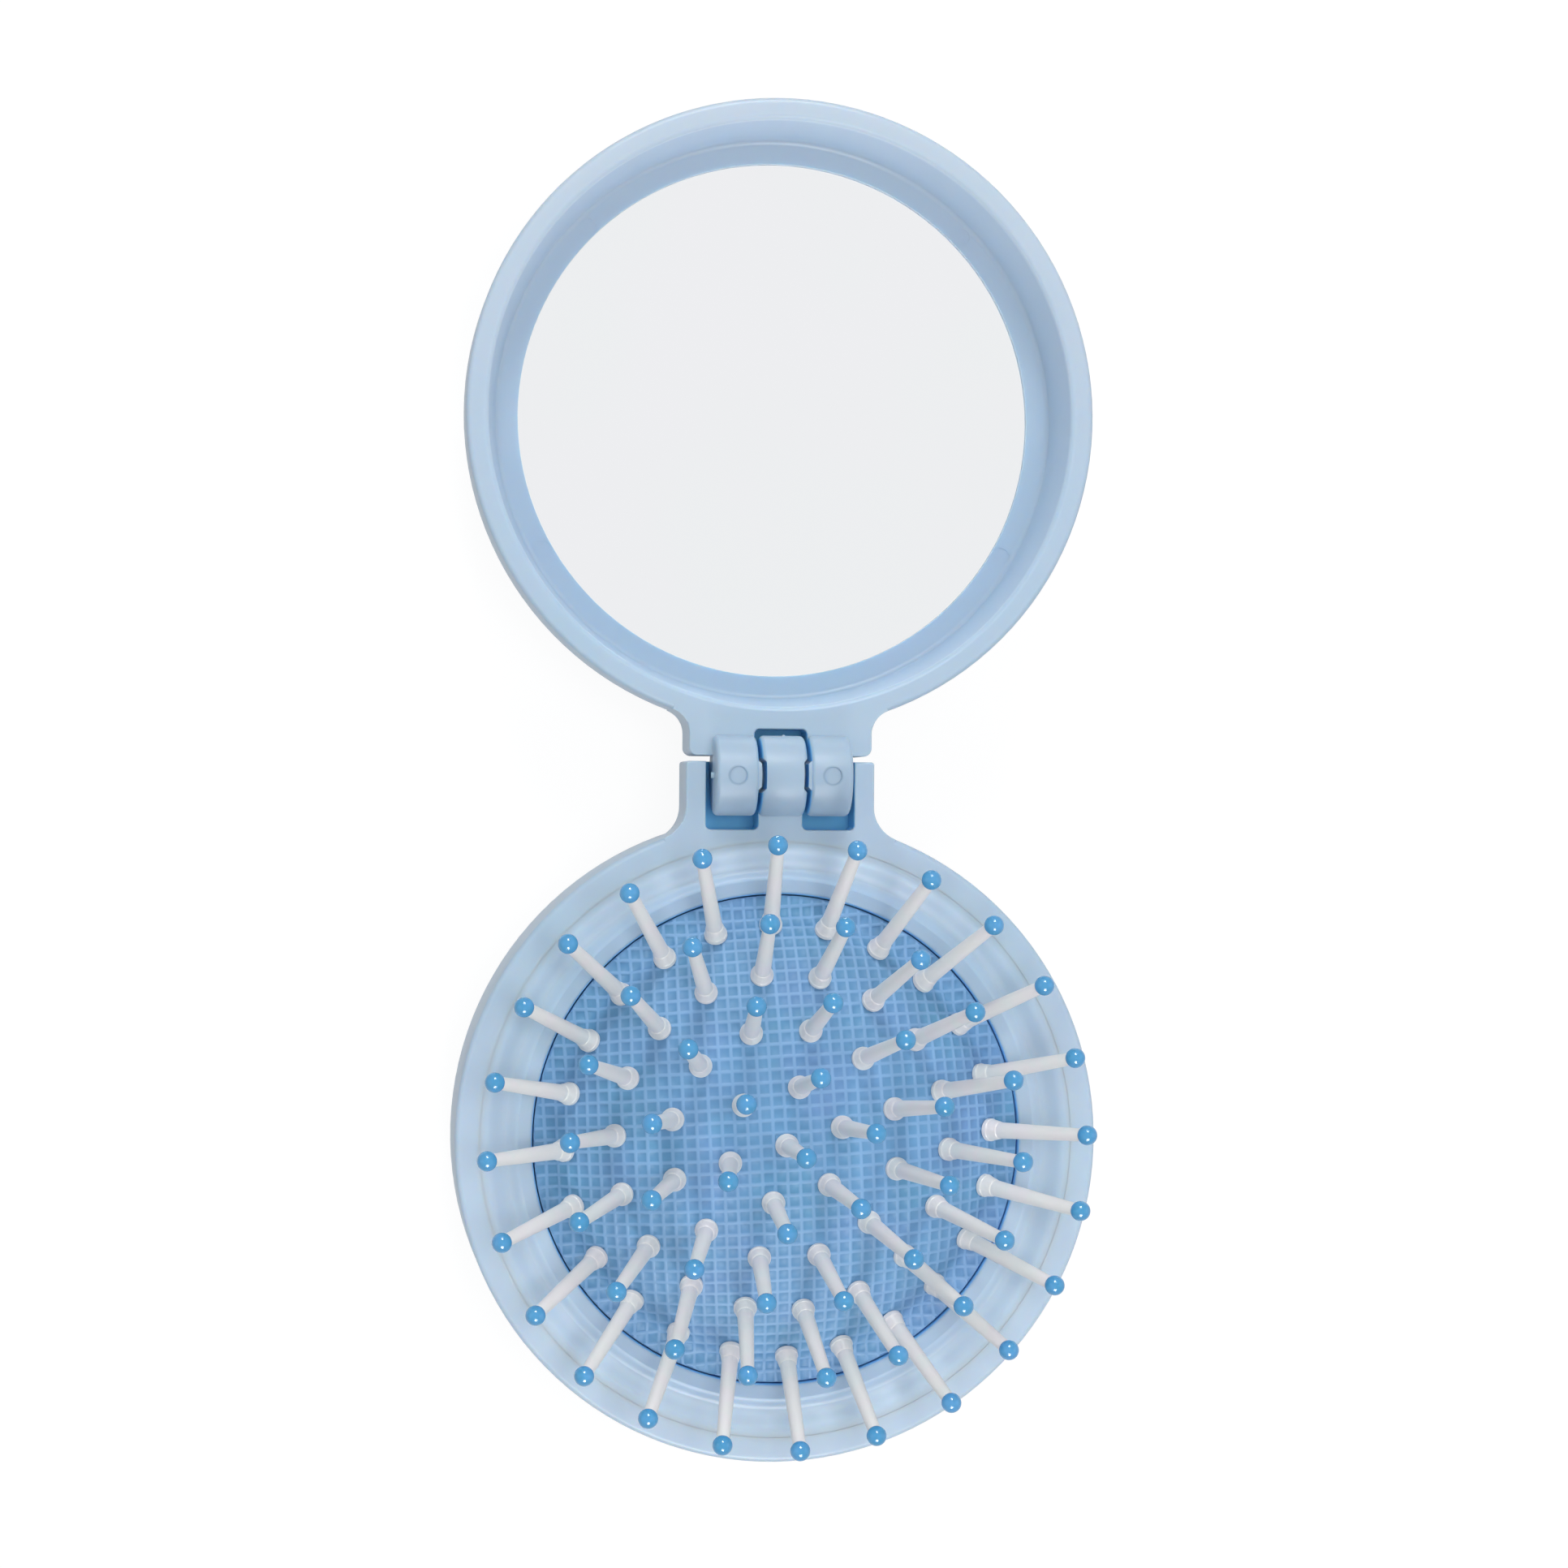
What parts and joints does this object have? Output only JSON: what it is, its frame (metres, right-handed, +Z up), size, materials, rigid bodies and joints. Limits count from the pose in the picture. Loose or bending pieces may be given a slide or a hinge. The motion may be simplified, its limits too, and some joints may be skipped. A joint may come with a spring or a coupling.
{
  "type": "folding hairbrush with mirror",
  "caption": "Round folding hairbrush: pop-up domed cushion of ball-tipped bristles in one half, a mirror in the hinged lid.",
  "frame": {"origin": "under the middle of the hinge axis, in the plane of the base's back face; this is the centre of the open object's bounding box in plan, to 0.3 mm", "axes": "+X across along the hinge, +Y from the base to the lid of the open object, +Z up, the way the bristles point"},
  "size_m": [0.0676, 0.1432, 0.0362],
  "materials": {
    "shell_plastic": "satin moulded, pastel blue",
    "inner_plastic": "moulded, pastel blue",
    "cushion_rubber": "fine square mesh relief, matt",
    "bristle_nylon": "smooth, slightly translucent white",
    "tip_resin": "glossy dipped resin",
    "mirror": "polished",
    "adhesive_pad": "foam tape"
  },
  "bodies": {
    "base": {"base_shell": "shell_plastic", "bezel_ring": "shell_plastic"},
    "brush_tray": {"bristle_tray": "inner_plastic", "push_button": "shell_plastic", "cushion": "cushion_rubber", "cushion_clamp_ring": "inner_plastic"},
    "lid": {"lid_shell": "shell_plastic", "mirror_glass": "mirror", "mirror_adhesive": "adhesive_pad"},
    "ring0_group_1": {"ring0_bristles_1": "bristle_nylon", "ring0_tips_1": "tip_resin"},
    "ring1_group_1": {"ring1_bristles_1": "bristle_nylon", "ring1_tips_1": "tip_resin"},
    "ring1_group_2": {"ring1_bristles_2": "bristle_nylon", "ring1_tips_2": "tip_resin"},
    "ring1_group_3": {"ring1_bristles_3": "bristle_nylon", "ring1_tips_3": "tip_resin"},
    "ring2_group_1": {"ring2_bristles_1": "bristle_nylon", "ring2_tips_1": "tip_resin"},
    "ring2_group_2": {"ring2_bristles_2": "bristle_nylon", "ring2_tips_2": "tip_resin"},
    "ring2_group_3": {"ring2_bristles_3": "bristle_nylon", "ring2_tips_3": "tip_resin"},
    "ring2_group_4": {"ring2_bristles_4": "bristle_nylon", "ring2_tips_4": "tip_resin"},
    "ring2_group_5": {"ring2_bristles_5": "bristle_nylon", "ring2_tips_5": "tip_resin"},
    "ring2_group_6": {"ring2_bristles_6": "bristle_nylon", "ring2_tips_6": "tip_resin"},
    "ring3_group_1": {"ring3_bristles_1": "bristle_nylon", "ring3_tips_1": "tip_resin"},
    "ring3_group_2": {"ring3_bristles_2": "bristle_nylon", "ring3_tips_2": "tip_resin"},
    "ring3_group_3": {"ring3_bristles_3": "bristle_nylon", "ring3_tips_3": "tip_resin"},
    "ring3_group_4": {"ring3_bristles_4": "bristle_nylon", "ring3_tips_4": "tip_resin"},
    "ring3_group_5": {"ring3_bristles_5": "bristle_nylon", "ring3_tips_5": "tip_resin"},
    "ring3_group_6": {"ring3_bristles_6": "bristle_nylon", "ring3_tips_6": "tip_resin"},
    "ring4_group_1": {"ring4_bristles_1": "bristle_nylon", "ring4_tips_1": "tip_resin"},
    "ring4_group_2": {"ring4_bristles_2": "bristle_nylon", "ring4_tips_2": "tip_resin"},
    "ring4_group_3": {"ring4_bristles_3": "bristle_nylon", "ring4_tips_3": "tip_resin"},
    "ring4_group_4": {"ring4_bristles_4": "bristle_nylon", "ring4_tips_4": "tip_resin"},
    "ring4_group_5": {"ring4_bristles_5": "bristle_nylon", "ring4_tips_5": "tip_resin"},
    "ring4_group_6": {"ring4_bristles_6": "bristle_nylon", "ring4_tips_6": "tip_resin"},
    "ring4_group_7": {"ring4_bristles_7": "bristle_nylon", "ring4_tips_7": "tip_resin"},
    "ring4_group_8": {"ring4_bristles_8": "bristle_nylon", "ring4_tips_8": "tip_resin"}
  },
  "joints": [
    {"name": "lid_hinge", "type": "hinge", "parent": "base", "child": "lid", "pos_m": [0, 0, 0.01515], "axis": [1, 0, 0], "range_deg": [0, 180]},
    {"name": "tray_slide", "type": "slide", "parent": "base", "child": "brush_tray", "axis": [0, 0, -1], "range_m": [0, 0.0076], "deforming": ["cushion"]},
    {"name": "centre_bristle_sink", "type": "slide", "parent": "brush_tray", "child": "ring0_group_1", "axis": [0, 0, -1], "range_m": [0, 0.0068]},
    {"name": "ring1_tilt_1", "type": "hinge", "parent": "brush_tray", "child": "ring1_group_1", "pos_m": [-0.03177, 0.06267, 0.01825], "axis": [0.9537, 0.3007, 0], "range_deg": [0, 3.76]},
    {"name": "ring1_tilt_2", "type": "hinge", "parent": "brush_tray", "child": "ring1_group_2", "pos_m": [-0.07138, -0.116, 0.01825], "axis": [-0.7373, 0.6756, 0], "range_deg": [0, 3.76]},
    {"name": "ring1_tilt_3", "type": "hinge", "parent": "brush_tray", "child": "ring1_group_3", "pos_m": [0.10315, -0.06097, 0.01825], "axis": [-0.2164, -0.9763, 0], "range_deg": [0, 3.76]},
    {"name": "ring2_tilt_1", "type": "hinge", "parent": "brush_tray", "child": "ring2_group_1", "pos_m": [0.02361, 0.00726, 0.01748], "axis": [0.887, -0.4617, 0], "range_deg": [0, 8.4]},
    {"name": "ring2_tilt_2", "type": "hinge", "parent": "brush_tray", "child": "ring2_group_2", "pos_m": [-0.02748, 0.00503, 0.01748], "axis": [0.8434, 0.5373, 0], "range_deg": [0, 8.4]},
    {"name": "ring2_tilt_3", "type": "hinge", "parent": "brush_tray", "child": "ring2_group_3", "pos_m": [-0.05109, -0.04033, 0.01748], "axis": [-0.0436, 0.999, 0], "range_deg": [0, 8.4]},
    {"name": "ring2_tilt_4", "type": "hinge", "parent": "brush_tray", "child": "ring2_group_4", "pos_m": [-0.02361, -0.08346, 0.01748], "axis": [-0.887, 0.4617, 0], "range_deg": [0, 8.4]},
    {"name": "ring2_tilt_5", "type": "hinge", "parent": "brush_tray", "child": "ring2_group_5", "pos_m": [0.02748, -0.08123, 0.01748], "axis": [-0.8434, -0.5373, 0], "range_deg": [0, 8.4]},
    {"name": "ring2_tilt_6", "type": "hinge", "parent": "brush_tray", "child": "ring2_group_6", "pos_m": [0.05109, -0.03587, 0.01748], "axis": [0.0436, -0.999, 0], "range_deg": [0, 8.4]},
    {"name": "ring3_tilt_1", "type": "hinge", "parent": "brush_tray", "child": "ring3_group_1", "pos_m": [0.01818, -0.00956, 0.01614], "axis": [0.8434, -0.5373, 0], "range_deg": [0, 15.24]},
    {"name": "ring3_tilt_2", "type": "hinge", "parent": "brush_tray", "child": "ring3_group_2", "pos_m": [-0.01563, -0.00808, 0.01614], "axis": [0.887, 0.4617, 0], "range_deg": [0, 15.24]},
    {"name": "ring3_tilt_3", "type": "hinge", "parent": "brush_tray", "child": "ring3_group_3", "pos_m": [-0.03381, -0.03662, 0.01614], "axis": [0.0436, 0.999, 0], "range_deg": [0, 15.24]},
    {"name": "ring3_tilt_4", "type": "hinge", "parent": "brush_tray", "child": "ring3_group_4", "pos_m": [-0.01818, -0.06664, 0.01614], "axis": [-0.8434, 0.5373, 0], "range_deg": [0, 15.24]},
    {"name": "ring3_tilt_5", "type": "hinge", "parent": "brush_tray", "child": "ring3_group_5", "pos_m": [0.01563, -0.06812, 0.01614], "axis": [-0.887, -0.4617, 0], "range_deg": [0, 15.24]},
    {"name": "ring3_tilt_6", "type": "hinge", "parent": "brush_tray", "child": "ring3_group_6", "pos_m": [0.03381, -0.03958, 0.01614], "axis": [-0.0436, -0.999, 0], "range_deg": [0, 15.24]},
    {"name": "ring4_tilt_1", "type": "hinge", "parent": "brush_tray", "child": "ring4_group_1", "pos_m": [0.01823, -0.0182, 0.01406], "axis": [0.7373, -0.6756, 0], "range_deg": [0, 27.53]},
    {"name": "ring4_tilt_2", "type": "hinge", "parent": "brush_tray", "child": "ring4_group_2", "pos_m": [-0.00118, -0.01114, 0.01406], "axis": [0.999, 0.0436, 0], "range_deg": [0, 27.53]},
    {"name": "ring4_tilt_3", "type": "hinge", "parent": "brush_tray", "child": "ring4_group_3", "pos_m": [-0.0199, -0.01987, 0.01406], "axis": [0.6756, 0.7373, 0], "range_deg": [0, 27.53]},
    {"name": "ring4_tilt_4", "type": "hinge", "parent": "brush_tray", "child": "ring4_group_4", "pos_m": [-0.02696, -0.03928, 0.01406], "axis": [-0.0436, 0.999, 0], "range_deg": [0, 27.53]},
    {"name": "ring4_tilt_5", "type": "hinge", "parent": "brush_tray", "child": "ring4_group_5", "pos_m": [-0.01823, -0.058, 0.01406], "axis": [-0.7373, 0.6756, 0], "range_deg": [0, 27.53]},
    {"name": "ring4_tilt_6", "type": "hinge", "parent": "brush_tray", "child": "ring4_group_6", "pos_m": [0.00118, -0.06506, 0.01406], "axis": [-0.999, -0.0436, 0], "range_deg": [0, 27.53]},
    {"name": "ring4_tilt_7", "type": "hinge", "parent": "brush_tray", "child": "ring4_group_7", "pos_m": [0.0199, -0.05633, 0.01406], "axis": [-0.6756, -0.7373, 0], "range_deg": [0, 27.53]},
    {"name": "ring4_tilt_8", "type": "hinge", "parent": "brush_tray", "child": "ring4_group_8", "pos_m": [0.02696, -0.03692, 0.01406], "axis": [0.0436, -0.999, 0], "range_deg": [0, 27.53]}
  ],
  "couplings": [
    {"joint": "tray_slide", "follows": "lid_hinge", "m_per_rad": 0.0024192},
    {"joint": "centre_bristle_sink", "follows": "lid_hinge", "m_per_rad": 0.0021645},
    {"joint": "ring1_tilt_1", "follows": "lid_hinge", "ratio": 0.0209},
    {"joint": "ring1_tilt_2", "follows": "lid_hinge", "ratio": 0.0209},
    {"joint": "ring1_tilt_3", "follows": "lid_hinge", "ratio": 0.0209},
    {"joint": "ring2_tilt_1", "follows": "lid_hinge", "ratio": 0.046648},
    {"joint": "ring2_tilt_2", "follows": "lid_hinge", "ratio": 0.046648},
    {"joint": "ring2_tilt_3", "follows": "lid_hinge", "ratio": 0.046648},
    {"joint": "ring2_tilt_4", "follows": "lid_hinge", "ratio": 0.046648},
    {"joint": "ring2_tilt_5", "follows": "lid_hinge", "ratio": 0.046648},
    {"joint": "ring2_tilt_6", "follows": "lid_hinge", "ratio": 0.046648},
    {"joint": "ring3_tilt_1", "follows": "lid_hinge", "ratio": 0.084663},
    {"joint": "ring3_tilt_2", "follows": "lid_hinge", "ratio": 0.084663},
    {"joint": "ring3_tilt_3", "follows": "lid_hinge", "ratio": 0.084663},
    {"joint": "ring3_tilt_4", "follows": "lid_hinge", "ratio": 0.084663},
    {"joint": "ring3_tilt_5", "follows": "lid_hinge", "ratio": 0.084663},
    {"joint": "ring3_tilt_6", "follows": "lid_hinge", "ratio": 0.084663},
    {"joint": "ring4_tilt_1", "follows": "lid_hinge", "ratio": 0.15294},
    {"joint": "ring4_tilt_2", "follows": "lid_hinge", "ratio": 0.15294},
    {"joint": "ring4_tilt_3", "follows": "lid_hinge", "ratio": 0.15294},
    {"joint": "ring4_tilt_4", "follows": "lid_hinge", "ratio": 0.15294},
    {"joint": "ring4_tilt_5", "follows": "lid_hinge", "ratio": 0.15294},
    {"joint": "ring4_tilt_6", "follows": "lid_hinge", "ratio": 0.15294},
    {"joint": "ring4_tilt_7", "follows": "lid_hinge", "ratio": 0.15294},
    {"joint": "ring4_tilt_8", "follows": "lid_hinge", "ratio": 0.15294}
  ]
}
